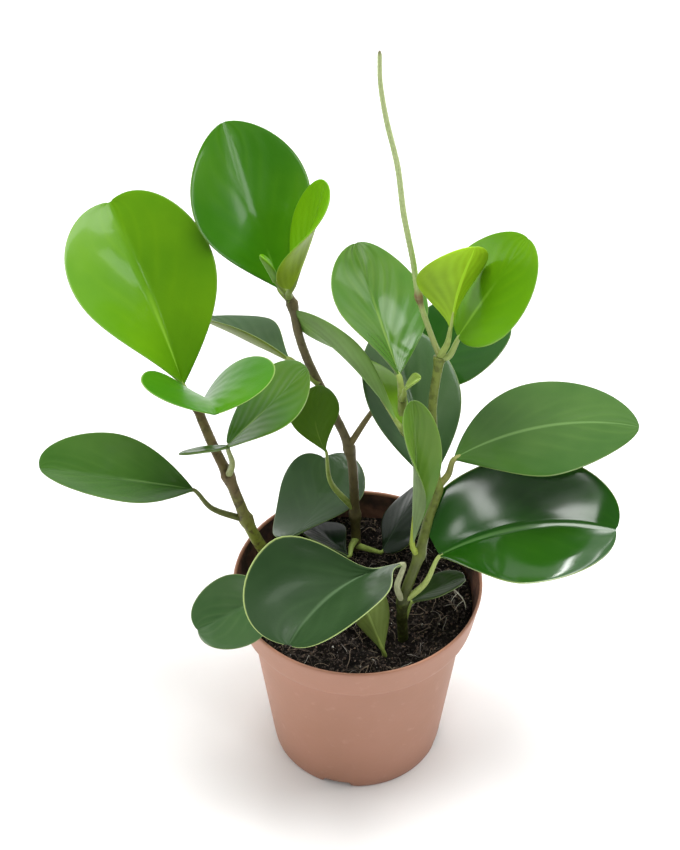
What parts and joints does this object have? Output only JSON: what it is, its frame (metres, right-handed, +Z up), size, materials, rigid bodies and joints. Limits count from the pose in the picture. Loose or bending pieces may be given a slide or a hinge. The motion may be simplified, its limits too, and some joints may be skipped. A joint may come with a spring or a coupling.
{
  "type": "potted peperomia",
  "caption": "Potted peperomia: fleshy oval leaves on branching stems and one thin flower spike, in soil in a tapered plastic nursery pot with a collar.",
  "frame": {"origin": "centre of the pot's underside", "axes": "+Z up; the side that faces -Y is the front, with +X to the viewer's right"},
  "size_m": [0.2736, 0.2021, 0.4071],
  "materials": {
    "pot": "satin terracotta-pink plastic",
    "soil": "loose dark potting soil",
    "stem_brown": "smooth fleshy stem, olive to brown",
    "stem_olive": "smooth fleshy stem, olive green",
    "spike": "finely bumpy, pale green",
    "leaf_green": "waxy gloss, mid green",
    "leaf_dark": "waxy gloss, dark bluish green",
    "leaf_young": "waxy gloss, bright yellow-green"
  },
  "bodies": {
    "root": {"pot": "pot", "soil": "soil", "stem_a": "stem_brown", "stem_b": "stem_brown", "stem_c": "stem_olive", "flower_spike": "spike", "leaf_a_top": "leaf_young", "leaf_a_front": "leaf_young", "leaf_a_mid": "leaf_green", "leaf_a_left": "leaf_green", "leaf_a_inner": "leaf_dark", "leaf_a_low": "leaf_green", "leaf_b_top": "leaf_green", "leaf_b_young": "leaf_young", "leaf_b_bud": "leaf_young", "leaf_b_left": "leaf_dark", "leaf_b_mid": "leaf_green", "leaf_b_back": "leaf_dark", "leaf_b_low_left": "leaf_dark", "leaf_b_low_right": "leaf_dark", "leaf_c_front": "leaf_green", "leaf_c_lower_right": "leaf_green", "leaf_c_upper_right": "leaf_green", "leaf_c_right": "leaf_green", "leaf_c_far": "leaf_dark", "leaf_c_left": "leaf_green", "leaf_c_top": "leaf_green", "leaf_c_bud": "leaf_young", "leaf_c_low": "leaf_dark", "leaf_c_down": "leaf_green", "leaf_d_right": "leaf_young", "leaf_d_young": "leaf_young"}
  },
  "joints": []
}
